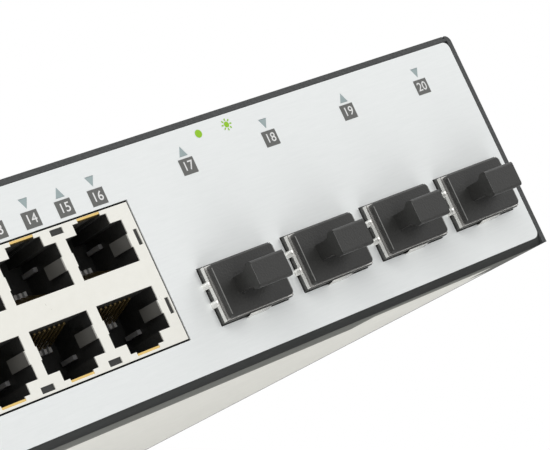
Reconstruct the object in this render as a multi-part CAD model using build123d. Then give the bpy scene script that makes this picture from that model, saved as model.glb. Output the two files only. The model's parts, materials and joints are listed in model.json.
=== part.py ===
from build123d import *
import os

# A rackmount network switch, one rack unit high. Millimetres.
# X runs along the front face, Y from the front to the back, Z up from the underside.
# The origin is the middle of the underside. Depths are measured back from the front face.

# Chassis
width, height, depth = 440.0, 44.0, 200.0
cover_sheet, base_sheet, overlay_sheet = 1.04, 1.2, 0.3
fold_radius, cover_fit, overlay_bottom = 1.4, 0.1, 1.41
flange_height, cover_screw_z, cover_screw_depths = 9.0, 4.0, (30, 100, 170)
vent_length, vent_width, vent_pitch, vent_count, vent_z = 16.0, 3.0, 7.0, 14, 25.0
bracket_spacing_y, bracket_spacing_z, bracket_depth, bracket_z = 32.0, 20.0, 30.0, 24.0
bracket_hole_r, nut_r, nut_height = 2.2, 3.6, 2.0

# Boards
board_thick, board_underside, board_left, board_back = 1.6, 6.0, -105.0, 150.0
standoff_r, standoff_bore, screw_r, screw_head_r, screw_fit = 3.0, 1.5, 1.45, 2.8, 0.15

# Stacked network sockets: two blocks of two rows and four columns
socket_pitch, socket_w, socket_h, socket_deep = 13.97, 11.97, 7.66, 12.8
columns, socket_edge, block_gap, block_right = 4, 2.41, 3.0, 86.11
row_z = (15.005, 27.3)
shield_z, shield_sheet, block_fit, block_deep = (8.2, 33.7), 0.25, 0.34, 27.0
latch_steps = ((7.2, 1.84), (4.8, 2.55))
contact_pitch, contact_w, contact_thick, contact_rise = 1.02, 0.4, 0.3, 2.5
spring_h, spring_deep, spring_in, spring_thick = 2.4, 4.8, 0.9, 0.2

# Optical module cages
cage_count, cage_pitch, cage_right, cage_z = 4, 19.54, 12.195, 13.37
cage_w, cage_h, cage_deep, cage_wall, cage_proud = 15.0, 10.0, 47.0, 0.4, 1.9
cage_hole_w, cage_hole_h = 15.79, 10.78
gasket_sheet, gasket_deep, finger_gap = 0.2, 6.0, 0.25
plug_fit, plug_deep, flange_thick, flange_w, flange_h = 0.25, 16.0, 1.15, 14.3, 9.8
handle_w, neck_h, head_h, neck_out, head_out, tip_out = 7.5, 2.9, 4.8, 6.5, 7.7, 9.2

# Indicators and the reset button
window_z, window_size, window_offset, pipe_size = 38.9, 1.8, 3.49, 2.0
button_x, button_z, button_r, button_fit, button_travel = -190.0, 22.0, 1.5, 0.15, 0.5
lamp_x, lamp_pitch, lamp_r = -178.0, 9.0, 0.95

# Power
inlet_x, inlet_z, inlet_w, inlet_h, inlet_deep, inlet_rim = -175.0, 22.0, 27.0, 19.6, 16.0, 2.0
recess_w, recess_h, recess_deep, inlet_fit = 24.2, 16.6, 14.0, 0.2
ground_x, ground_r = -145.0, 1.9
psu_left, psu_right, psu_front, psu_back = -212.0, -116.0, 70.0, 172.0
mains_plug_depth = 160.0

front = -depth / 2
panel_back = overlay_sheet + base_sheet
base_half = width / 2 - cover_sheet - cover_fit
base_top = height - cover_sheet - cover_fit
board_top = board_underside + board_thick
nodes = {}


def block(x, d, z):
    """Box from three (low, high) pairs, the second one being depths."""
    size = [b - a for a, b in (x, d, z)]
    return Pos((x[0] + x[1]) / 2, front + (d[0] + d[1]) / 2, (z[0] + z[1]) / 2) * Box(*size)


def centred(x, w, d, z, h):
    return block((x - w / 2, x + w / 2), d, (z - h / 2, z + h / 2))


def upright(x, d, r, z):
    return Pos(x, front + d, (z[0] + z[1]) / 2) * Cylinder(r, z[1] - z[0])


def across(x, z, r, d):
    """Cylinder that runs from front to back."""
    return Pos(x, front + (d[0] + d[1]) / 2, z) * Rot(90, 0, 0) * Cylinder(r, d[1] - d[0])


def sideways(x, d, z, r):
    return Pos((x[0] + x[1]) / 2, front + d, z) * Rot(0, 90, 0) * Cylinder(r, x[1] - x[0])


def save(name, *shapes):
    solids = [solid for shape in shapes for solid in shape.solids()]
    nodes[name] = solids[0] if len(solids) == 1 else Compound(children=solids)


def block_centres():
    half = ((columns - 1) * socket_pitch + socket_w) / 2 + socket_edge
    right = width / 2 - block_right - half
    return half, (right - 2 * half - block_gap, right)


def column_centres(centre):
    return [centre + (i - (columns - 1) / 2) * socket_pitch for i in range(columns)]


def cage_centres():
    last = width / 2 - cage_right
    return [last - (cage_count - 1 - i) * cage_pitch for i in range(cage_count)]


def windows():
    """Centre and direction of each triangular window: up over odd sockets, down over even ones."""
    places = []
    for centre in block_centres()[1]:
        for x in column_centres(centre):
            places += [(x - window_offset, 1, block_deep), (x + window_offset, -1, block_deep)]
    return places + [(x, (1, -1)[i % 2], cage_deep) for i, x in enumerate(cage_centres())]


def triangle(x, way, size, d):
    """Triangular prism that points up (way 1) or down (way -1)."""
    half = size / 2
    foot = window_z - way * half
    points = [(x - half, foot), (x + half, foot), (x, window_z + way * half)]
    face = make_face(Polyline(*points, close=True))
    return extrude(Plane.XZ.offset(-front - d[1]) * face, d[1] - d[0])


def panel_holes(d):
    half, centres = block_centres()
    middle, tall = sum(shield_z) / 2, shield_z[1] - shield_z[0] + 2 * block_fit
    holes = [centred(x, 2 * half + 2 * block_fit, d, middle, tall) for x in centres]
    holes += [centred(x, cage_hole_w, d, cage_z, cage_hole_h) for x in cage_centres()]
    holes.append(across(button_x, button_z, button_r + button_fit, d))
    holes += [across(lamp_x + i * lamp_pitch, button_z, lamp_r + button_fit, d) for i in range(3)]
    return holes


def cover_screw_places():
    return [(side, d) for side in (-1, 1) for d in cover_screw_depths]


def bracket_places():
    rows = (bracket_z - bracket_spacing_z / 2, bracket_z + bracket_spacing_z / 2)
    cols = (bracket_depth - bracket_spacing_y / 2, bracket_depth + bracket_spacing_y / 2)
    return [(side, d, z) for side in (-1, 1) for d in cols for z in rows]


def standoff_places():
    right = width / 2 - 8
    xs = (board_left + 8, block_centres()[1][0] - 33.72, right)
    main = [(x, d) for x in xs for d in (58, board_back - 8)]
    psu = [(x, d) for x in (psu_left + 6, psu_right - 6) for d in (psu_front + 6, psu_back - 6)]
    return main + psu


def base_chassis():
    tray = block((-base_half, base_half), (overlay_sheet, depth), (0, base_top))
    long_edges = tray.edges().filter_by(Axis.X).group_by(Axis.Z)[0]
    tray = fillet(long_edges, fold_radius)
    inner = (-base_half + base_sheet, base_half - base_sheet)
    tray -= block(inner, (panel_back, depth - base_sheet), (base_sheet, height))
    for side in (-1, 1):
        edge = sorted((side * (base_half + 1), side * (base_half - base_sheet)))
        tray -= block(edge, (panel_back, depth - base_sheet), (flange_height, height))
    tray -= panel_holes((0, panel_back + 1))
    tray -= [centred(x, pipe_size + 0.2, (0, panel_back + 1), window_z, pipe_size + 0.2)
             for x, way, back in windows()]
    tray -= [sideways((side * base_half - 2, side * base_half + 2), d, cover_screw_z, screw_r + 0.02)
             for side, d in cover_screw_places()]
    cut_w, cut_h = inlet_w + 2 * inlet_fit, inlet_h + 2 * inlet_fit
    tray -= centred(inlet_x, cut_w, (depth - 3, depth + 1), inlet_z, cut_h)
    tray -= across(ground_x, inlet_z, ground_r + 0.02, (depth - 3, depth + 1))
    save("base_chassis", tray)


def top_cover():
    shell = block((-width / 2, width / 2), (0, depth), (0, height))
    folds = shell.edges().filter_by(Axis.Y).group_by(Axis.Z)[-1]
    shell = fillet(folds, fold_radius)
    inside = width / 2 - cover_sheet
    shell -= block((-inside, inside), (-1, depth + 1), (-1, height - cover_sheet))
    first = front + depth / 2 - (vent_count - 1) * vent_pitch / 2 + 15
    slot = SlotOverall(vent_length, vent_width, rotation=90)
    shell -= [extrude(Plane.YZ * Pos(first + i * vent_pitch, vent_z) * slot, width, both=True)
              for i in range(vent_count)]
    for side, d in cover_screw_places():
        sink = Rot(0, side * 90, 0) * Cone(screw_r + 0.25, screw_head_r + 0.1, cover_sheet)
        shell -= Pos(side * (width / 2 - cover_sheet / 2), front + d, cover_screw_z) * sink
    shell -= [sideways((side * width / 2 - 3, side * width / 2 + 3), d, z, bracket_hole_r)
              for side, d, z in bracket_places()]
    for side in (-1, 1):
        notch = sorted((side * (width / 2 - 1.9), side * (width / 2 - 1.3)))
        shell -= block(notch, (-1, 1.6), (height - 0.45, height + 1))
    save("top_cover", shell)


def bracket_nuts():
    nuts = []
    for side, d, z in bracket_places():
        inside = width / 2 - cover_sheet
        span = sorted((side * inside, side * (inside - nut_height)))
        nuts.append(sideways(span, d, z, nut_r) - sideways((span[0] - 1, span[1] + 1), d, z, bracket_hole_r))
    save("bracket_nuts", *nuts)


def cover_screws():
    screws = []
    for side, d in cover_screw_places():
        head = Rot(0, side * 90, 0) * Cone(screw_r, screw_head_r - 0.1, cover_sheet)
        head = Pos(side * (width / 2 - cover_sheet / 2), front + d, cover_screw_z) * head
        span = sorted((side * (width / 2 - cover_sheet), side * (width / 2 - 6)))
        drive = sorted((side * (width / 2 + 0.1), side * (width / 2 - 0.5)))
        screw = head + sideways(span, d, cover_screw_z, screw_r)
        screw -= block(drive, (d - 1.5, d + 1.5), (cover_screw_z - 0.25, cover_screw_z + 0.25))
        screw -= block(drive, (d - 0.25, d + 0.25), (cover_screw_z - 1.5, cover_screw_z + 1.5))
        screws.append(screw)
    save("cover_screws", *screws)


def front_overlay():
    sheet = block((-base_half, base_half), (0, overlay_sheet), (overlay_bottom, base_top))
    sheet = fillet(sheet.edges().filter_by(Axis.Y), fold_radius)
    sheet -= panel_holes((-1, 1))
    sheet -= [triangle(x, way, window_size + 0.1, (-1, 1)) for x, way, back in windows()]
    save("front_overlay", sheet)


def boards():
    right = width / 2 - 3
    main = block((board_left, right), (3, board_back), (board_underside, board_top))
    psu = block((psu_left, psu_right), (psu_front, psu_back), (board_underside, board_top))
    posts, screws = [], []
    for x, d in standoff_places():
        hole = upright(x, d, screw_r + screw_fit, (board_underside - 1, board_top + 1))
        main -= hole
        psu -= hole
        post = upright(x, d, standoff_r, (base_sheet, board_underside))
        posts.append(post - upright(x, d, standoff_bore, (base_sheet + 0.6, board_underside + 1)))
        shank = upright(x, d, screw_r, (board_underside - 3, board_top))
        head = upright(x, d, screw_head_r, (board_top, board_top + 1.6))
        cross = block((x - 1.5, x + 1.5), (d - 0.25, d + 0.25), (board_top + 1, board_top + 2))
        cross += block((x - 0.25, x + 0.25), (d - 1.5, d + 1.5), (board_top + 1, board_top + 2))
        screws.append(shank + head - cross)
    save("main_board", main)
    save("psu_board", psu)
    save("board_standoffs", *posts)
    save("board_screws", *screws)


def socket_opening(x, row, d, grow=0.0):
    """The mouth of one socket: its main opening and the two latch steps, up in the upper row."""
    way = 1 if row else -1
    z = row_z[row]
    shape = centred(x, socket_w + 2 * grow, d, z, socket_h + 2 * grow)
    for step_w, step_h in latch_steps:
        edge = z + way * (socket_h / 2 + step_h + grow)
        shape += block((x - step_w / 2 - grow, x + step_w / 2 + grow), d, sorted((z, edge)))
    return shape


def jack_block(letter, centre):
    half = block_centres()[0]
    low, high = shield_z
    inner = half - shield_sheet
    housing = block((centre - inner, centre + inner), (shield_sheet, block_deep - shield_sheet),
                    (low, high - shield_sheet))
    for x in (centre - inner + 3, centre + inner - 3):
        for d in (6, block_deep - 5):
            housing += upright(x, d, 1.5, (board_top, low))
    shield = block((centre - half, centre + half), (0, block_deep), (low, high))
    shield -= block((centre - inner, centre + inner), (shield_sheet, block_deep - shield_sheet),
                    (low - 1, high - shield_sheet))
    wires = []
    for x in column_centres(centre):
        for row in (0, 1):
            mouth = socket_opening(x, row, (-1, socket_deep))
            housing -= mouth
            shield -= mouth
            shield += side_springs(x, row)
            wires += socket_wires(x, row)
    shield -= snap_windows(centre, half)
    save("jack_housing_" + letter, housing)
    save("jack_shield_" + letter, shield)
    save("jack_contacts_" + letter, *wires)


def snap_windows(centre, half):
    """Small windows in the shield's face, between the columns and at its two ends."""
    low, high = shield_z
    cuts = []
    for i in range(columns - 1):
        x = centre + (i - (columns - 2) / 2) * socket_pitch
        cuts += [centred(x, 2.6, (-1, shield_sheet), z, 1.1) for z in (low + 0.95, high - 0.95)]
    for side in (-1, 1):
        x = centre + side * (half - 0.75)
        cuts += [centred(x, 0.8, (-1, shield_sheet), z, 2.9) for z in (14.65, 27.4)]
    return cuts


def side_springs(x, row):
    """Two earthing strips bent inwards from the sides of one socket."""
    z = row_z[row]
    strips = []
    for side in (-1, 1):
        edge = x + side * socket_w / 2
        tip = edge - side * spring_in
        thick = side * spring_thick
        points = [(edge, 0), (edge, shield_sheet), (tip, spring_deep), (tip - thick, spring_deep),
                  (edge - thick, 0)]
        face = make_face(Polyline(*[(px, front + py) for px, py in points], close=True))
        strips.append(extrude(Plane.XY.offset(z - spring_h / 2) * face, spring_h))
    return strips


def socket_wires(x, row):
    """Eight sloping contact wires on the side opposite the latch."""
    way = 1 if row else -1
    root = row_z[row] - way * (socket_h / 2 - 0.1)
    tip = root + way * contact_rise
    thick = way * contact_thick
    points = [(4.0, root), (socket_deep, tip), (socket_deep, tip + thick), (4.0, root + thick)]
    face = make_face(Polyline(*[(front + d, z) for d, z in points], close=True))
    wires = []
    for i in range(8):
        left = x + (i - 3.5) * contact_pitch - contact_w / 2
        wires.append(extrude(Plane.YZ.offset(left) * face, contact_w))
    return wires


def module_cage(number, x):
    """Five flat panels that meet edge to edge, open at the front, with pins down to the board."""
    back = cage_deep - cage_wall
    low, high = cage_z - cage_h / 2, cage_z + cage_h / 2
    half = cage_w / 2
    floor = block((x - half, x + half), (-cage_proud, cage_deep), (low, low + cage_wall))
    for side in (-1, 1):
        for d in (12, 24, 36):
            floor += upright(x + side * 6, d, 0.5, (board_top, low + cage_wall / 2))
    roof = block((x - half, x + half), (-cage_proud, cage_deep), (high - cage_wall, high))
    walls = [block(span, (-cage_proud, back), (low + cage_wall, high - cage_wall))
             for span in ((x - half, x - half + cage_wall), (x + half - cage_wall, x + half))]
    rear = block((x - half, x + half), (back, cage_deep), (low + cage_wall, high - cage_wall))
    save(f"sfp_cage_{number}", floor, roof, *walls, rear)

    ring = centred(x, cage_w + 2 * gasket_sheet, (-1.5, gasket_deep), cage_z, cage_h + 2 * gasket_sheet)
    ring -= centred(x, cage_w, (-2, gasket_deep + 1), cage_z, cage_h)
    reach = gasket_deep - 1.5
    for dz in (-2.2, -0.8, 1.2, 2.6):
        ring -= centred(x, cage_w + 2, (-1, reach), cage_z + dz, finger_gap)
    for dx in (-5.2, -2.8, 2.8, 5.2):
        ring -= centred(x + dx, finger_gap, (-1, reach), cage_z, cage_h + 2)
    save(f"sfp_gasket_{number}", ring)


def module_connectors():
    sockets = []
    for x in cage_centres():
        body = centred(x, 11.5, (cage_deep - 12, cage_deep - cage_wall - 0.2), cage_z - 0.4, 6.4)
        body -= centred(x, 9.2, (cage_deep - 13, cage_deep - 5), cage_z, 1.2)
        foot = cage_z - cage_h / 2 + cage_wall
        body += centred(x, 11.5, (cage_deep - 8, cage_deep - 2), (foot + cage_z) / 2, cage_z - foot)
        sockets.append(body)
    save("sfp_connectors", *sockets)


def dust_plug(number, x):
    """Plug with a flange that covers the cage's rim and a flared finger grip."""
    rim = -cage_proud - 0.05
    inside_w, inside_h = cage_w - 2 * cage_wall - 2 * plug_fit, cage_h - 2 * cage_wall - 2 * plug_fit
    body = centred(x, inside_w, (rim, plug_deep), cage_z, inside_h)
    body = fillet(body.edges().filter_by(Axis.Y), 0.8)
    body -= centred(x, inside_w - 2.4, (2, plug_deep + 1), cage_z, inside_h - 2.4)
    flange = centred(x, flange_w, (rim - flange_thick, rim), cage_z, flange_h)
    flange = fillet(flange.edges().filter_by(Axis.Y), 0.7)
    flange = fillet(flange.faces().sort_by(Axis.Y)[0].edges(), 0.25)
    grip = dust_plug_grip(x, rim - flange_thick)
    save(f"dust_plug_{number}", body + flange + grip)


def dust_plug_grip(x, start):
    neck, head = neck_h / 2, head_h / 2
    points = [(start, -neck), (-neck_out, -neck), (-head_out, -head), (-tip_out, -head)]
    with BuildPart() as grip:
        with BuildSketch(Plane.YZ.offset(x - handle_w / 2)):
            with BuildLine():
                lower = [(front + d, cage_z + z) for d, z in points]
                upper = [(front + d, cage_z - z) for d, z in reversed(points)]
                Polyline(*lower, *upper, close=True)
            make_face()
        extrude(amount=handle_w)
        tip = grip.edges().filter_by(Axis.X).group_by(Axis.Y)
        fillet(tip[0] + tip[1], 0.5)
        fillet(tip[2], 1.2)
    return grip.part


def light_pipes():
    pipes, lamps = [], []
    low, high = window_z - pipe_size / 2, window_z + pipe_size / 2
    for x, way, back in windows():
        rear = back + 2 + pipe_size
        pipe = triangle(x, way, window_size, (0.02, overlay_sheet + 0.1))
        pipe += centred(x, pipe_size, (overlay_sheet, rear), window_z, pipe_size)
        pipe += block((x - pipe_size / 2, x + pipe_size / 2), (rear - pipe_size, rear), (board_top + 1, high))
        pipes.append(pipe)
        lamps.append(block((x - 0.8, x + 0.8), (rear - 1.6, rear - 0.4), (board_top, board_top + 1)))
    save("light_pipes", *pipes)
    save("status_leds", *lamps)


def reset_group():
    left, right = button_x - 12, lamp_x + 2 * lamp_pitch + 10
    board = block((left, right), (9, 10.6), (button_z - 10, button_z + 10))
    posts = []
    for x in (left + 4, right - 4):
        board -= across(x, button_z + 5, screw_r + screw_fit, (8, 12))
        post = across(x, button_z + 5, standoff_r, (panel_back, 9))
        post -= across(x, button_z + 5, standoff_bore, (panel_back + 1, 10))
        screw = across(x, button_z + 5, screw_r, (5, 10.6))
        screw += across(x, button_z + 5, screw_head_r, (10.6, 12))
        posts += [post, screw]
    save("indicator_board", board)
    save("indicator_posts", *posts)

    end = 4.2
    button = across(button_x, button_z, button_r, (0.1, end))
    button = fillet(button.edges().sort_by(Axis.Y)[0], 0.3)
    collar = across(button_x, button_z, button_r + 1, (panel_back + 0.1, panel_back + 0.9))
    save("reset_button", button + collar)
    save("reset_switch", centred(button_x, 6, (end + button_travel + 0.1, 9), button_z, 6))

    rods = [across(lamp_x + i * lamp_pitch, button_z, lamp_r, (0.05, 8)) for i in range(3)]
    chips = [centred(lamp_x + i * lamp_pitch, 1.6, (8, 9), button_z, 1.2) for i in range(3)]
    save("indicator_pipes", *rods)
    save("indicator_leds", *chips)


def board_parts():
    centre = block_centres()[1][1]
    top = board_top
    save("switch_chip", block((centre - 14, centre + 14), (78, 106), (top, top + 2.4)))
    sink = block((centre - 22, centre + 22), (70, 114), (top + 2.4, top + 5.4))
    for i in range(11):
        x = centre - 21 + i * 4.1
        sink += block((x - 0.5, x + 0.5), (70, 114), (top + 5.4, top + 20))
    save("heatsink", sink)
    xs = [block_centres()[1][0] - 15, block_centres()[1][0] + 15]
    save("phy_chips", *[block((x - 8, x + 8), (46, 62), (top, top + 1.6)) for x in xs])
    save("memory_chips", *[block((x - 5, x + 5), (84, 98), (top, top + 1.1)) for x in (10, 28)])
    save("flash_chip", block((-6, 2), (84, 90), (top, top + 1.6)))
    save("coils", *[block((x - 6, x + 6), (122, 134), (top, top + 6)) for x in (-60, -40, 40)])
    cans = [fillet(upright(x, d, 4, (top, top + 11)).edges().sort_by(Axis.Z)[-1], 0.6)
            for x, d in ((-80, 120), (-80, 132), (-20, 126), (centre - 44.54, 126), (centre + 35.46, 100))]
    save("capacitors", *cans)


def power_parts():
    top = board_top
    middle = (psu_left + psu_right) / 2
    core = block((middle - 15, middle + 15), (112, 138), (top + 3, top + 9))
    core += block((middle - 15, middle + 15), (112, 138), (top + 19, top + 25))
    core += block((middle - 15, middle - 9), (112, 138), (top + 3, top + 25))
    core += block((middle + 9, middle + 15), (112, 138), (top + 3, top + 25))
    bobbin = block((middle - 9, middle + 9), (110, 140), (top + 9, top + 19))
    feet = block((middle - 12, middle + 12), (110, 140), (top, top + 3))
    save("transformer_core", core)
    save("transformer_winding", bobbin, feet)
    cans = [fillet(across(psu_left + 14, top + 9.5, 9, (d, d + 34)).edges().sort_by(Axis.Y)[-1], 1.0)
            for d in (80, 116)]
    save("psu_capacitors", *cans)
    sinks = []
    for x in (middle + 22, psu_right - 14):
        plate = block((x - 1, x + 1), (100, 150), (top, top + 26))
        plate += block((x - 1, x + 9), (100, 150), (top + 24, top + 26))
        sinks.append(plate)
    save("psu_heatsinks", *sinks)
    ring = upright(middle, 88, 9, (top, top + 9)) - upright(middle, 88, 4, (top - 1, top + 10))
    save("psu_choke", ring)
    mains = (mains_plug_depth - 4, mains_plug_depth + 4)
    save("power_plugs", block((inlet_x - 9, inlet_x + 9), mains, (top, top + 9)),
         block((psu_right - 24, psu_right - 10), (74, 82), (top, top + 8)),
         block((board_left + 4, board_left + 18), (74, 82), (top, top + 8)))


def lead(points, r, bend):
    path = FilletPolyline(*points, radius=bend)
    return sweep(Plane(origin=path @ 0, z_dir=path % 0) * Circle(r), path=path)


def leads():
    """Two mains leads from the inlet to the power board, and four leads on to the main board."""
    back = front + depth + inlet_rim - inlet_deep - 6
    mains = []
    for x in (inlet_x - 7, inlet_x + 7):
        z, end = inlet_z - 2, front + mains_plug_depth
        mains.append(lead([(x, back, z), (x, end, z), (x, end, board_top + 9)], 0.9, 1.5))
    save("ac_leads", *mains)
    harness = []
    low, high = board_top + 8, board_top + 16
    for i in range(4):
        x0, x1, y = psu_right - 17, board_left + 11, front + 75 + i * 2
        harness.append(lead([(x0, y, low), (x0, y, high), (x1, y, high), (x1, y, low)], 0.8, 3))
    save("dc_harness", *harness)


def inlet():
    back, rim = depth - inlet_deep + inlet_rim, depth + inlet_rim
    body = centred(inlet_x, inlet_w, (back, depth), inlet_z, inlet_h)
    flange = centred(inlet_x, inlet_w + 4, (depth, rim), inlet_z, inlet_h + 4)
    body += fillet(flange.edges().filter_by(Axis.Y), 2.0)
    body -= centred(inlet_x, recess_w, (rim - recess_deep, rim + 1), inlet_z, recess_h)
    pins = []
    for dx, dz in ((-7, -2), (7, -2), (0, 2)):
        pin = centred(inlet_x + dx, 2, (back - 6, rim - 3), inlet_z + dz, 4)
        body -= pin
        pins.append(pin)
    save("inlet_body", body)
    save("inlet_pins", *pins)
    screw = across(ground_x, inlet_z, ground_r, (depth - 8, depth + 0.6))
    screw += across(ground_x, inlet_z, 3.6, (depth + 0.6, rim))
    screw -= centred(ground_x, 8, (rim - 0.8, rim + 1), inlet_z, 0.8)
    washer = across(ground_x, inlet_z, 4.5, (depth, depth + 0.6)) - across(
        ground_x, inlet_z, ground_r, (depth - 1, depth + 1))
    save("ground_screw", screw, washer)


base_chassis()
top_cover()
bracket_nuts()
cover_screws()
front_overlay()
boards()
for block_letter, block_x in zip("ab", block_centres()[1]):
    jack_block(block_letter, block_x)
for cage_number, cage_x in enumerate(cage_centres(), 1):
    module_cage(cage_number, cage_x)
    dust_plug(cage_number, cage_x)
module_connectors()
light_pipes()
reset_group()
board_parts()
power_parts()
leads()
inlet()

os.makedirs("parts", exist_ok=True)
for node_name, node_shape in nodes.items():
    export_step(node_shape, f"parts/{node_name}.step")
print(len(nodes), "nodes")
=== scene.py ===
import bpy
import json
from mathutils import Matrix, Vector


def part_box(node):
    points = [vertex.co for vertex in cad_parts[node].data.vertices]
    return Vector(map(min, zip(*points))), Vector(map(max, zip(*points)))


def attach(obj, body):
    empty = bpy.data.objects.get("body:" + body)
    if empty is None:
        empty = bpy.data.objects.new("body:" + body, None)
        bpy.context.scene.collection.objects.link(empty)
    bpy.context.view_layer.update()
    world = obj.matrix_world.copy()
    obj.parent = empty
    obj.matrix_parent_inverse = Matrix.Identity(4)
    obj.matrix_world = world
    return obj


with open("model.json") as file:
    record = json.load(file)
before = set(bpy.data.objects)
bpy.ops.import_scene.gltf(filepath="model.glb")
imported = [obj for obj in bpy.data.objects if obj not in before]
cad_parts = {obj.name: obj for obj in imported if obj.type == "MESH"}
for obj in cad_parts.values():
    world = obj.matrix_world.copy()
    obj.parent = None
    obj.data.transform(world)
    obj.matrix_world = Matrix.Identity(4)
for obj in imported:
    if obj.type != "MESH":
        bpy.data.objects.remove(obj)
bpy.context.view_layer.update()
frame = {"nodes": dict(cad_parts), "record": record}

import bpy
import json
import math
from mathutils import Matrix, Vector

mm = 0.001
nodes = frame["nodes"]
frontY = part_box("front_overlay")[0][1]
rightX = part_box("top_cover")[1][0]
print("frame loaded:", len(nodes), "nodes")


# Camera: low at the left, looking up along the front face, a little rolled
cameraLook = {
    "place": (-98.4, -419.8, -18.7),
    "right": (0.7299, -0.5402, -0.4188),
    "forward": (0.6280, 0.7719, 0.0990),
    "lens": 154.07,
    "shift": (0.0007, -0.01265),
    "sensor": 36,
    "nearest": 0.01,
}


def addCamera(look):
    data = bpy.data.cameras.new("camera")
    data.sensor_width = look["sensor"]
    data.lens = look["lens"]
    data.shift_x, data.shift_y = look["shift"]
    data.clip_start = look["nearest"]
    forward = Vector(look["forward"]).normalized()
    right = Vector(look["right"])
    right = (right - forward * right.dot(forward)).normalized()
    up = right.cross(forward)
    turn = Matrix((right, up, -forward)).transposed().to_4x4()
    cam = bpy.data.objects.new("camera", data)
    bpy.context.collection.objects.link(cam)
    cam.matrix_world = Matrix.Translation(Vector(look["place"]) * mm) @ turn
    bpy.context.scene.camera = cam


addCamera(cameraLook)
print("camera placed")


# Small helpers for shader trees

def addNode(tree, kind, **values):
    node = tree.nodes.new(kind)
    for name, value in values.items():
        if name in node.inputs:
            node.inputs[name].default_value = value
        else:
            setattr(node, name, value)
    return node


def maths(tree, operation, *values):
    node = addNode(tree, "ShaderNodeMath", operation=operation)
    for socket, value in zip(node.inputs, values):
        if isinstance(value, (int, float)):
            socket.default_value = value
        else:
            tree.links.new(value, socket)
    return node.outputs[0]


def blendColours(tree, mask, first, second):
    # a Mix node's colours are its inputs 6 and 7, and its colour comes out at 2
    node = addNode(tree, "ShaderNodeMix", data_type="RGBA")
    for socket, value in zip((node.inputs[6], node.inputs[7]), (first, second)):
        if isinstance(value, tuple):
            socket.default_value = (*value, 1)
        else:
            tree.links.new(value, socket)
    tree.links.new(mask, node.inputs[0])
    return node.outputs[2]


def newGroup(name, inputs):
    group = bpy.data.node_groups.new(name, "ShaderNodeTree")
    group.interface.new_socket("Vector", in_out="INPUT", socket_type="NodeSocketVector")
    for title, value in inputs.items():
        socket = group.interface.new_socket(title, in_out="INPUT", socket_type="NodeSocketFloat")
        socket.default_value = value
    group.interface.new_socket("Mask", in_out="OUTPUT", socket_type="NodeSocketFloat")
    group.interface.new_socket("Normal", in_out="OUTPUT", socket_type="NodeSocketVector")
    return group, group.nodes.new("NodeGroupInput"), group.nodes.new("NodeGroupOutput")


def addBump(group, enter, leave, height):
    bump = addNode(group, "ShaderNodeBump")
    link = group.links.new
    link(enter.outputs["Strength"], bump.inputs["Strength"])
    link(enter.outputs["Depth"], bump.inputs["Distance"])
    link(height, bump.inputs["Height"])
    link(bump.outputs["Normal"], leave.inputs["Normal"])


# Moulded or powder texture: fine noise with a slow variation over it
grain = {"inputs": {"Scale": 1500.0, "Strength": 0.3, "Depth": 0.0001}, "detail": 3.0, "fineShare": 0.7,
         "slowScale": 60.0, "slowDetail": 2.0, "slowShare": 0.3}


def buildGrain():
    group, enter, leave = newGroup("grain", grain["inputs"])
    fine = addNode(group, "ShaderNodeTexNoise", Detail=grain["detail"])
    slow = addNode(group, "ShaderNodeTexNoise", Scale=grain["slowScale"], Detail=grain["slowDetail"])
    link = group.links.new
    link(enter.outputs["Vector"], fine.inputs["Vector"])
    link(enter.outputs["Vector"], slow.inputs["Vector"])
    link(enter.outputs["Scale"], fine.inputs["Scale"])
    drift = maths(group, "MULTIPLY", slow.outputs["Fac"], grain["slowShare"])
    mixed = maths(group, "MULTIPLY_ADD", fine.outputs["Fac"], grain["fineShare"], drift)
    link(mixed, leave.inputs["Mask"])
    addBump(group, enter, leave, fine.outputs["Fac"])
    return group


# Brushed metal: noise drawn out along X
brush = {"inputs": {"Scale": 900.0, "Strength": 0.15, "Depth": 0.00005}, "stretch": (0.07, 1.0, 1.0),
         "detail": 4.0, "roughness": 0.7}


def buildBrush():
    group, enter, leave = newGroup("brush", brush["inputs"])
    squeeze = addNode(group, "ShaderNodeMapping", vector_type="POINT")
    squeeze.inputs["Scale"].default_value = brush["stretch"]
    fine = addNode(group, "ShaderNodeTexNoise", Detail=brush["detail"], Roughness=brush["roughness"])
    link = group.links.new
    link(enter.outputs["Vector"], squeeze.inputs["Vector"])
    link(squeeze.outputs["Vector"], fine.inputs["Vector"])
    link(enter.outputs["Scale"], fine.inputs["Scale"])
    link(fine.outputs["Fac"], leave.inputs["Mask"])
    addBump(group, enter, leave, fine.outputs["Fac"])
    return group


# Sparse rubbed patches, for wear
scuffs = {"inputs": {"Scale": 90.0, "Strength": 0.1, "Depth": 0.00005}, "detail": 6.0, "roughness": 0.65,
          "from": 0.58, "to": 0.72}


def buildScuffs():
    group, enter, leave = newGroup("scuffs", scuffs["inputs"])
    patch = addNode(group, "ShaderNodeTexNoise", Detail=scuffs["detail"], Roughness=scuffs["roughness"])
    ramp = addNode(group, "ShaderNodeMapRange")
    ramp.inputs["From Min"].default_value = scuffs["from"]
    ramp.inputs["From Max"].default_value = scuffs["to"]
    link = group.links.new
    link(enter.outputs["Vector"], patch.inputs["Vector"])
    link(enter.outputs["Scale"], patch.inputs["Scale"])
    link(patch.outputs["Fac"], ramp.inputs["Value"])
    link(ramp.outputs["Result"], leave.inputs["Mask"])
    addBump(group, enter, leave, ramp.outputs["Result"])
    return group


effects = {"grain": buildGrain(), "brush": buildBrush(), "scuffs": buildScuffs()}

# How every finish is lightened where it is worn, and how much its gloss varies
surface = {"wornGain": 1.25, "wornLift": 0.01, "unevenness": 0.16, "scuffShine": 0.06}


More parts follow.
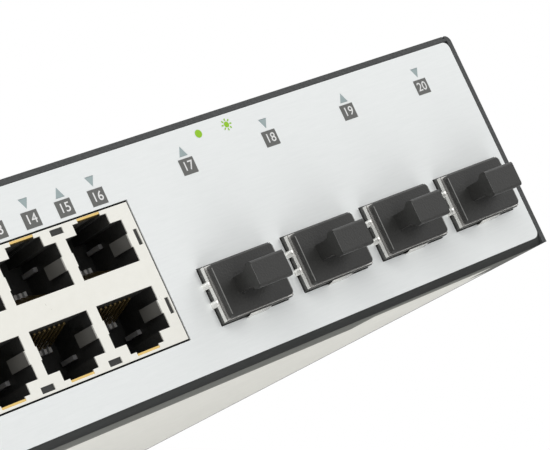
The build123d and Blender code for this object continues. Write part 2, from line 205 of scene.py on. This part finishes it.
def makeMaterial(name, dark, light, rough, effect="grain", scale=1500.0, strength=0.3, depth=0.0001,
                 metal=0.0, wear=0.12, coat=0.0, paint=None):
    material = bpy.data.materials.new(name)
    material.use_nodes = True
    tree = material.node_tree
    shader = tree.nodes["Principled BSDF"]
    where = addNode(tree, "ShaderNodeTexCoord").outputs["Object"]
    look = addNode(tree, "ShaderNodeGroup", node_tree=effects[effect])
    rubbed = addNode(tree, "ShaderNodeGroup", node_tree=effects["scuffs"])
    look.inputs["Scale"].default_value = scale
    look.inputs["Strength"].default_value = strength
    look.inputs["Depth"].default_value = depth
    for node in (look, rubbed):
        tree.links.new(where, node.inputs["Vector"])
    colour = blendColours(tree, look.outputs["Mask"], dark, light)
    worn = tuple(min(1.0, part * surface["wornGain"] + surface["wornLift"]) for part in light)
    faint = maths(tree, "MULTIPLY", rubbed.outputs["Mask"], wear)
    colour = blendColours(tree, faint, colour, worn)
    if paint:
        colour = paint(tree, where, colour)
    uneven = maths(tree, "MULTIPLY", look.outputs["Mask"], surface["unevenness"])
    uneven = maths(tree, "ADD", uneven, rough - surface["unevenness"] / 2)
    shine = maths(tree, "MULTIPLY", rubbed.outputs["Mask"], surface["scuffShine"])
    tree.links.new(colour, shader.inputs["Base Color"])
    tree.links.new(maths(tree, "SUBTRACT", uneven, shine), shader.inputs["Roughness"])
    tree.links.new(look.outputs["Normal"], shader.inputs["Normal"])
    shader.inputs["Metallic"].default_value = metal
    shader.inputs["Coat Weight"].default_value = coat
    return material


# The tray is bare sheet inside and below; its front and the first stretch of the underside are sprayed
spray = {"deep": 17.0, "shallow": 9.0, "from": 39.0, "to": 7.0, "soft": 0.4, "front": 1.7,
         "edgeScale": 900.0, "edgeDetail": 3.0,
         "grey": (0.235, 0.238, 0.222), "charcoal": (0.032, 0.034, 0.033)}


def sprayedFront(tree, where, bare):
    parts = addNode(tree, "ShaderNodeSeparateXYZ")
    tree.links.new(where, parts.inputs[0])
    x, y = parts.outputs["X"], parts.outputs["Y"]
    edge = addNode(tree, "ShaderNodeTexNoise", Scale=spray["edgeScale"], Detail=spray["edgeDetail"])
    tree.links.new(where, edge.inputs["Vector"])
    wander = maths(tree, "MULTIPLY", edge.outputs["Fac"], spray["soft"] * mm)
    back = maths(tree, "SUBTRACT", maths(tree, "SUBTRACT", y, frontY), wander)
    inside = maths(tree, "MULTIPLY", maths(tree, "GREATER_THAN", x, rightX - spray["from"] * mm),
                   maths(tree, "LESS_THAN", x, rightX - spray["to"] * mm))
    reach = maths(tree, "MULTIPLY", inside, (spray["shallow"] - spray["deep"]) * mm)
    limit = maths(tree, "ADD", reach, spray["deep"] * mm)
    grey = blendColours(tree, maths(tree, "LESS_THAN", back, limit), bare, spray["grey"])
    return blendColours(tree, maths(tree, "LESS_THAN", back, spray["front"] * mm), grey, spray["charcoal"])


# Behind the face of a socket shield the bent strips sit in shade: that shade is painted in as a darker grey
insideShade = {"deep": 0.3, "grey": (0.20, 0.195, 0.18)}


def dullInside(tree, where, bright):
    parts = addNode(tree, "ShaderNodeSeparateXYZ")
    tree.links.new(where, parts.inputs[0])
    limit = frontY + insideShade["deep"] * mm
    return blendColours(tree, maths(tree, "GREATER_THAN", parts.outputs["Y"], limit), bright, insideShade["grey"])


# Every finish on the switch: its name, dark and light colours, roughness, then its grain and wear
finish = {
    "galvanised": makeMaterial("galvanised", (0.78, 0.775, 0.73), (0.90, 0.895, 0.85), 0.45, scale=260.0,
                               strength=0.1, metal=0.25, wear=0.25, paint=sprayedFront),
    "charcoal": makeMaterial("charcoal", (0.008, 0.009, 0.009), (0.085, 0.090, 0.090), 0.55, scale=1700.0,
                             strength=0.9, depth=0.0002),
    "overlay": makeMaterial("overlay", (0.82, 0.845, 0.84), (0.91, 0.93, 0.925), 0.40, effect="brush",
                            scale=2600.0, strength=0.10, metal=0.30, wear=0.04),
    "screw": makeMaterial("screw", (0.42, 0.42, 0.41), (0.62, 0.62, 0.60), 0.35, scale=900.0, metal=0.9),
    "board": makeMaterial("board", (0.010, 0.10, 0.035), (0.018, 0.15, 0.055), 0.35, scale=700.0, coat=0.4),
    # the shield's strips behind its face get a painted shade grey
    "shield": makeMaterial("shield", (0.86, 0.85, 0.78), (0.94, 0.93, 0.87), 0.30, scale=600.0,
                           strength=0.06, metal=0.45, wear=0.2, paint=dullInside),
    "cage": makeMaterial("cage", (0.70, 0.69, 0.66), (0.86, 0.85, 0.82), 0.26, scale=400.0,
                         strength=0.04, metal=0.75),
    # the gasket's dark colour is painted shade: its recessed segments sit in shadow beside the bright cage
    "gasket": makeMaterial("gasketPaintedShade", (0.05, 0.05, 0.047), (0.13, 0.13, 0.125), 0.35, scale=500.0,
                           strength=0.08, metal=0.6),
    "black_plastic": makeMaterial("blackPlastic", (0.012, 0.012, 0.011), (0.036, 0.036, 0.034), 0.46,
                                  scale=2600.0, strength=0.5, depth=0.00012),
    # thin lighter strips on the dust plug edges: painted highlights
    "plugHighlight": makeMaterial("paintedHighlightEdge", (0.16, 0.16, 0.155), (0.28, 0.28, 0.27), 0.35, scale=1800.0,
                         strength=0.2),
    "wires": makeMaterial("contactWire", (0.12, 0.085, 0.03), (0.24, 0.17, 0.07), 0.35, scale=900.0,
                          metal=0.7),
    "gold": makeMaterial("gold", (0.72, 0.48, 0.14), (0.92, 0.68, 0.28), 0.25, scale=900.0, metal=0.9),
    "clear": makeMaterial("windowPlastic", (0.30, 0.38, 0.39), (0.42, 0.50, 0.50), 0.35, scale=800.0,
                          strength=0.1),
    "chip": makeMaterial("chip", (0.02, 0.02, 0.022), (0.05, 0.05, 0.055), 0.6, scale=1800.0),
    "aluminium": makeMaterial("aluminium", (0.55, 0.56, 0.57), (0.72, 0.73, 0.74), 0.35, effect="brush",
                              scale=900.0, metal=0.9),
    "winding": makeMaterial("winding", (0.60, 0.44, 0.06), (0.78, 0.60, 0.12), 0.4, scale=500.0),
    "ferrite": makeMaterial("ferrite", (0.04, 0.04, 0.045), (0.09, 0.09, 0.10), 0.55, scale=1200.0),
    "wire": makeMaterial("wire", (0.25, 0.02, 0.015), (0.38, 0.04, 0.03), 0.4, scale=1200.0, strength=0.1),
    "led": makeMaterial("led", (0.66, 0.68, 0.60), (0.80, 0.82, 0.75), 0.35, scale=900.0, strength=0.1),
    "plate": makeMaterial("platePrint", (0.105, 0.106, 0.100), (0.150, 0.152, 0.145), 0.5, scale=1500.0,
                          strength=0.1),
    "numeral": makeMaterial("numeralPrint", (0.80, 0.80, 0.79), (0.90, 0.90, 0.89), 0.5, scale=1500.0,
                            strength=0.1),
    "green": makeMaterial("greenPrint", (0.27, 0.55, 0.01), (0.34, 0.66, 0.015), 0.5, scale=1500.0,
                          strength=0.1),
    "ledge": makeMaterial("ledgeGrey", (0.30, 0.30, 0.31), (0.46, 0.46, 0.46), 0.5, scale=900.0),
    "comb": makeMaterial("combGrey", (0.66, 0.66, 0.67), (0.84, 0.84, 0.84), 0.5, scale=900.0),
}
ownFinish = {"sfp_gasket": "gasket", "jack_contacts": "wires"}
for part in frame["record"]["subparts"]:
    mesh = nodes[part["node"]].data
    family = part["node"].rsplit("_", 1)[0]
    mesh.materials.clear()
    mesh.materials.append(finish[ownFinish.get(family, part["material_slot"])])
print("materials made:", len(finish))


def keepPiece(name, mesh, slotName, body="chassis"):
    piece = bpy.data.objects.new(name, mesh)
    bpy.context.collection.objects.link(piece)
    if not mesh.materials:
        mesh.materials.append(finish[slotName])
    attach(piece, body)
    return piece


# A row of small plates, made by Geometry Nodes

def buildRowTree():
    tree = bpy.data.node_groups.new("plateRow", "GeometryNodeTree")
    new = tree.interface.new_socket
    new("Geometry", in_out="OUTPUT", socket_type="NodeSocketGeometry")
    new("Count", in_out="INPUT", socket_type="NodeSocketInt")
    for name in ("First", "Step", "Size"):
        new(name, in_out="INPUT", socket_type="NodeSocketVector")
    new("Material", in_out="INPUT", socket_type="NodeSocketMaterial")
    enter, leave = tree.nodes.new("NodeGroupInput"), tree.nodes.new("NodeGroupOutput")
    line = tree.nodes.new("GeometryNodeMeshLine")
    plate = tree.nodes.new("GeometryNodeMeshCube")
    place = tree.nodes.new("GeometryNodeInstanceOnPoints")
    real = tree.nodes.new("GeometryNodeRealizeInstances")
    paint = tree.nodes.new("GeometryNodeSetMaterial")
    link = tree.links.new
    link(enter.outputs["Count"], line.inputs["Count"])
    link(enter.outputs["First"], line.inputs["Start Location"])
    link(enter.outputs["Step"], line.inputs["Offset"])
    link(enter.outputs["Size"], plate.inputs["Size"])
    link(line.outputs["Mesh"], place.inputs["Points"])
    link(plate.outputs["Mesh"], place.inputs["Instance"])
    link(place.outputs["Instances"], real.inputs["Geometry"])
    link(real.outputs["Geometry"], paint.inputs["Geometry"])
    link(enter.outputs["Material"], paint.inputs["Material"])
    link(paint.outputs["Geometry"], leave.inputs["Geometry"])
    return tree


rowTree = buildRowTree()


def plateRow(name, count, first, step, size, slotName, body="chassis"):
    holder = bpy.data.objects.new(name + ".draft", bpy.data.meshes.new(name + ".draft"))
    bpy.context.collection.objects.link(holder)
    modifier = holder.modifiers.new("row", "NODES")
    modifier.node_group = rowTree
    values = {"Count": count, "First": first, "Step": step, "Size": size, "Material": finish[slotName]}
    for item in rowTree.interface.items_tree:
        if item.in_out == "INPUT":
            value = values[item.name]
            plain = item.name in ("Count", "Material")
            modifier[item.identifier] = value if plain else [v * mm for v in value]
    ready = holder.evaluated_get(bpy.context.evaluated_depsgraph_get())
    mesh = bpy.data.meshes.new_from_object(ready)
    bpy.data.objects.remove(holder)
    keepPiece(name, mesh, slotName, body)


def onePlate(name, place, size, slotName, body="chassis"):
    plateRow(name, 1, place, (0, 0, 0), size, slotName, body)


# Places on the front face, in millimetres from the right edge and the underside
face = {"socketPitch": 13.97, "lastColumn": 94.515, "columns": 4, "blockStep": 61.70,
        "rows": (15.005, 27.3), "socketW": 11.97, "socketH": 7.66, "socketDeep": 12.8,
        "modulePitch": 19.54, "lastModule": 12.195, "modules": 4, "moduleZ": 13.37}
rightMm, frontMm = rightX / mm, frontY / mm
blockColumns = [[rightMm - face["lastColumn"] - b * face["blockStep"] - i * face["socketPitch"]
                 for i in reversed(range(face["columns"]))] for b in (1, 0)]
modulePlaces = [rightMm - face["lastModule"] - i * face["modulePitch"]
                for i in reversed(range(face["modules"]))]
sides = (("l", -1), ("r", 1))

# Port numbers: grey plates with pale numerals
label = {"width": 3.25, "height": 2.95, "z": 36.05, "thick": 0.04, "textSize": 2.4, "bold": 0.02,
         "offset": 3.49, "textLift": 0.01}


def numeral(name, text, x, z, size, lift):
    curve = bpy.data.curves.new(name, "FONT")
    curve.body = text
    curve.size = size * mm
    curve.align_x, curve.align_y = "CENTER", "CENTER"
    curve.offset = label["bold"] * mm
    draft = bpy.data.objects.new(name + ".draft", curve)
    bpy.context.collection.objects.link(draft)
    mesh = bpy.data.meshes.new_from_object(draft.evaluated_get(bpy.context.evaluated_depsgraph_get()))
    bpy.data.objects.remove(draft)
    stand = Matrix.Rotation(math.radians(90), 4, "X")
    mesh.transform(Matrix.Translation(Vector((x, frontMm - lift, z)) * mm) @ stand)
    mesh.materials.clear()
    keepPiece(name, mesh, "numeral")


def addLabels(look):
    thick = look["thick"]
    lift = thick + look["textLift"]
    size = (look["width"], thick, look["height"])
    number = 1
    for block, columns in zip("ab", blockColumns):
        first = (columns[0] - look["offset"], frontMm - thick / 2, look["z"])
        plateRow(f"port_plates_{block}", 2 * len(columns), first, (face["socketPitch"] / 2, 0, 0), size,
                 "plate")
        for x in columns:
            for _, side in sides:
                numeral(f"port_number_{number}", str(number), x + side * look["offset"], look["z"],
                        look["textSize"], lift)
                number += 1
    plateRow("module_plates", len(modulePlaces), (modulePlaces[0], frontMm - thick / 2, look["z"]),
             (face["modulePitch"], 0, 0), size, "plate")
    for x in modulePlaces:
        numeral(f"port_number_{number}", str(number), x, look["z"], look["textSize"], lift)
        number += 1


addLabels(label)
print("port numbers laid")


# Two green marks over the module numbers: a plain dot and a small sun
marks = {"dot": (65.8, 40.9, 0.75), "sun": (59.2, 40.9, 0.55), "rays": 8, "rayFrom": 0.7, "rayTo": 1.15,
         "rayWidth": 0.26, "discEdges": 32, "lift": 0.03}


def flatFan(name, shapes):
    points, faces = [], []
    for outline in shapes:
        start = len(points)
        points += [(x * mm, (frontMm - marks["lift"]) * mm, z * mm) for x, z in outline]
        faces.append(tuple(range(start, start + len(outline))))
    mesh = bpy.data.meshes.new(name)
    mesh.from_pydata(points, [], faces)
    keepPiece(name, mesh, "green")


def disc(x, z, radius):
    turns = [2 * math.pi * i / marks["discEdges"] for i in range(marks["discEdges"])]
    return [(x + radius * math.cos(t), z + radius * math.sin(t)) for t in turns]


def ray(x, z, turn):
    along = Vector((math.cos(turn), math.sin(turn)))
    aside = Vector((-along.y, along.x)) * marks["rayWidth"] / 2
    centre = Vector((x, z))
    near, far = centre + along * marks["rayFrom"], centre + along * marks["rayTo"]
    return [tuple(corner) for corner in (near - aside, far - aside, far + aside, near + aside)]


def addMarks():
    x, z, radius = marks["dot"]
    flatFan("green_dot", [disc(rightMm - x, z, radius)])
    x, z, radius = marks["sun"]
    rays = [ray(rightMm - x, z, 2 * math.pi * i / marks["rays"]) for i in range(marks["rays"])]
    flatFan("green_sun", [disc(rightMm - x, z, radius)] + rays)


addMarks()
print("green marks laid")


# Inside each socket: the comb and back plate behind the wires, the gold earthing strip at the latch,
# and a ledge at each side of the latch
socketFit = {"teeth": 8, "toothPitch": 1.02, "toothWidth": 0.55, "toothDeep": 1.8, "toothHigh": 2.0,
             "toothDrop": 1.6, "backWide": 4.0, "backHigh": 1.5, "backAside": 3.9, "backDrop": 0.1,
             "stripWide": 4.8, "stripDeep": 1.6, "stripHigh": 0.4, "stripBehind": 0.9, "latchReach": 2.55,
             "ledge": (0.8, 4.0, 0.8), "ledgeBehind": 10.3, "ledgeRise": 1.9}


def fitSocket(number, x, row):
    fit = socketFit
    way = 1 if row else -1
    z = face["rows"][row]
    combY = frontMm + face["socketDeep"] - fit["toothDeep"] / 2
    half = (fit["teeth"] - 1) / 2 * fit["toothPitch"]
    plateRow(f"socket_comb_{number}", fit["teeth"], (x - half, combY, z - way * fit["toothDrop"]),
             (fit["toothPitch"], 0, 0), (fit["toothWidth"], fit["toothDeep"], fit["toothHigh"]), "comb")
    onePlate(f"socket_back_{number}", (x - fit["backAside"], combY, z - way * fit["backDrop"]),
             (fit["backWide"], fit["toothDeep"], fit["backHigh"]), "comb")
    edge = z + way * (face["socketH"] / 2 + fit["latchReach"] - fit["stripHigh"] / 2)
    onePlate(f"latch_strip_{number}", (x, frontMm + fit["stripBehind"], edge),
             (fit["stripWide"], fit["stripDeep"], fit["stripHigh"]), "gold")
    reach = (face["socketW"] - fit["ledge"][0]) / 2
    for letter, side in sides:
        place = (x + side * reach, frontMm + fit["ledgeBehind"], z + way * fit["ledgeRise"])
        onePlate(f"latch_ledge_{number}_{letter}", place, fit["ledge"], "ledge")


def fitSockets():
    number = 1
    for columns in blockColumns:
        for x in columns:
            for row in (1, 0):
                fitSocket(number, x, row)
                number += 1


fitSockets()
print("sockets fitted")


# Module cages: a band and bulging earthing fingers at each side, and a latch leaf below
cage = {"half": 7.7, "low": 5.2, "gap": 0.1, "sheet": 0.12, "stations": 10}
band = {"from": -1.88, "to": -1.05, "gap": 0.02, "short": 0.3}
finger = {"heights": (15.3, 11.85), "width": 1.2, "bulge": 0.32, "from": -1.75, "to": 2.2}
leaf = {"wide": 4.8, "out": 1.9, "long": 3.2, "drop": 0.3, "turn": 0.9}


def bentStrip(name, rows, slotName):
    # rows are pairs of points, one pair for each station along the strip
    points = [tuple(v * mm for v in p) for pair in rows for p in pair]
    faces = [(2 * i, 2 * i + 1, 2 * i + 3, 2 * i + 2) for i in range(len(rows) - 1)]
    mesh = bpy.data.meshes.new(name)
    mesh.from_pydata(points, [], faces)
    piece = keepPiece(name, mesh, slotName)
    solid = piece.modifiers.new("sheet", "SOLIDIFY")
    solid.thickness = cage["sheet"] * mm
    solid.offset = 0
    for polygon in mesh.polygons:
        polygon.use_smooth = True


def arch(turn):
    # how far along a strip each station is, and how far it stands out there
    alongs = [station / cage["stations"] for station in range(cage["stations"] + 1)]
    return [(along, math.sin(math.pi * along * turn)) for along in alongs]


def addFingers(number, x):
    deep = band["to"] - band["from"]
    bandSize = (cage["sheet"], deep, 2 * cage["low"] - band["short"])
    bandY = frontMm + band["from"] + deep / 2
    for letter, side in sides:
        place = (x + side * (cage["half"] + band["gap"]), bandY, face["moduleZ"])
        onePlate(f"cage_band_{number}_{letter}", place, bandSize, "cage")
        for i, z in enumerate(finger["heights"]):
            low, high = z - finger["width"] / 2, z + finger["width"] / 2
            rows = []
            for along, bulge in arch(1):
                y = frontMm + finger["from"] + (finger["to"] - finger["from"]) * along
                out = x + side * (cage["half"] + cage["gap"] + finger["bulge"] * bulge)
                rows.append(((out, y, low), (out, y, high)))
            bentStrip(f"cage_finger_{number}_{letter}{i}", rows, "cage")


def addLeaf(number, x):
    left, right = x - leaf["wide"] / 2, x + leaf["wide"] / 2
    rows = []
    for along, dip in arch(leaf["turn"]):
        y = frontMm - leaf["out"] + leaf["long"] * along
        z = face["moduleZ"] - cage["low"] - cage["gap"] - leaf["drop"] * dip
        rows.append(((left, y, z), (right, y, z)))
    bentStrip(f"cage_leaf_{number}", rows, "cage")


for cageNumber, cageX in enumerate(modulePlaces, 1):
    addFingers(cageNumber, cageX)
    addLeaf(cageNumber, cageX)
print("cage fingers bent")


# Dust plugs: painted highlights, as thin lighter strips, along the edges of the flange and the grip
plugHighlight = {"flangeHalf": 6.98, "flangeHigh": 8.6, "flangeOut": 3.08,
        "gripHalf": 3.72, "gripHigh": 3.8, "gripOut": 9.15, "width": 0.16, "thick": 0.06}


def addBeads(number, x):
    body = f"dust_plug_{number}"
    for letter, side in sides:
        onePlate(f"plug_highlight_{number}_{letter}",
                 (x + side * plugHighlight["flangeHalf"], frontMm - plugHighlight["flangeOut"], face["moduleZ"]),
                 (plugHighlight["width"], plugHighlight["thick"], plugHighlight["flangeHigh"]), "plugHighlight", body)
        onePlate(f"plug_grip_highlight_{number}_{letter}",
                 (x + side * plugHighlight["gripHalf"], frontMm - plugHighlight["gripOut"], face["moduleZ"]),
                 (plugHighlight["width"] / 2, plugHighlight["thick"], plugHighlight["gripHigh"]), "plugHighlight", body)


for plugNumber, plugX in enumerate(modulePlaces, 1):
    addBeads(plugNumber, plugX)
print("plug highlights painted")


# Studio: pale floor that shows only from above, white surroundings, soft lamps
studio = {"floorSize": 6.0, "floorDrop": 0.3, "paper": (0.86, 0.86, 0.86, 1), "paperRough": 0.9,
          "ambient": 0.46, "white": (1, 1, 1, 1), "aim": (0.1, -0.05, 0.02),
          "key": ((-0.5, -0.9, 0.9), 0.9, 6.2), "fill": ((-0.2, -0.5, -0.9), 1.0, 7.0),
          "side": ((0.9, -0.4, 0.5), 0.6, 1.6), "back": ((0.2, 1.0, 0.9), 0.9, 4.5)}


def addFloor():
    half = studio["floorSize"] / 2
    z = -studio["floorDrop"] * mm
    mesh = bpy.data.meshes.new("floor")
    corners = [(-half, -half, z), (half, -half, z), (half, half, z), (-half, half, z)]
    mesh.from_pydata(corners, [], [(0, 1, 2, 3)])
    floor = bpy.data.objects.new("floor", mesh)
    bpy.context.collection.objects.link(floor)
    material = bpy.data.materials.new("floorPaper")
    material.use_nodes = True
    tree = material.node_tree
    paper = tree.nodes["Principled BSDF"]
    paper.inputs["Base Color"].default_value = studio["paper"]
    paper.inputs["Roughness"].default_value = studio["paperRough"]
    clear = tree.nodes.new("ShaderNodeBsdfTransparent")
    chooser = tree.nodes.new("ShaderNodeMixShader")
    below = tree.nodes.new("ShaderNodeNewGeometry")
    rays = tree.nodes.new("ShaderNodeLightPath")
    through = maths(tree, "MAXIMUM", rays.outputs["Is Shadow Ray"], rays.outputs["Is Diffuse Ray"])
    tree.links.new(maths(tree, "MAXIMUM", through, below.outputs["Backfacing"]), chooser.inputs[0])
    tree.links.new(paper.outputs[0], chooser.inputs[1])
    tree.links.new(clear.outputs[0], chooser.inputs[2])
    tree.links.new(chooser.outputs[0], tree.nodes["Material Output"].inputs["Surface"])
    mesh.materials.append(material)


def addWorld():
    world = bpy.data.worlds.new("studio")
    bpy.context.scene.world = world
    world.use_nodes = True
    tree = world.node_tree
    soft = tree.nodes["Background"]
    soft.inputs["Color"].default_value = studio["white"]
    soft.inputs["Strength"].default_value = studio["ambient"]
    white = addNode(tree, "ShaderNodeBackground", Strength=1.0)
    white.inputs["Color"].default_value = studio["white"]
    rays = tree.nodes.new("ShaderNodeLightPath")
    chooser = tree.nodes.new("ShaderNodeMixShader")
    seen = maths(tree, "MAXIMUM", rays.outputs["Is Camera Ray"], rays.outputs["Is Transmission Ray"])
    seen = maths(tree, "MAXIMUM", seen, rays.outputs["Is Glossy Ray"])
    tree.links.new(seen, chooser.inputs[0])
    tree.links.new(soft.outputs[0], chooser.inputs[1])
    tree.links.new(white.outputs[0], chooser.inputs[2])
    tree.links.new(chooser.outputs[0], tree.nodes["World Output"].inputs["Surface"])


def addLamp(name, place, size, power):
    data = bpy.data.lights.new(name, "AREA")
    data.size = size
    data.energy = power
    lamp = bpy.data.objects.new(name, data)
    bpy.context.collection.objects.link(lamp)
    lamp.location = place
    towards = Vector(studio["aim"]) - Vector(place)
    lamp.rotation_euler = towards.to_track_quat("-Z", "Y").to_euler()


addFloor()
addWorld()
for lampName in ("key", "fill", "side", "back"):
    addLamp(lampName, *studio[lampName])
bpy.context.scene.view_settings.view_transform = "Standard"
print("studio lit")
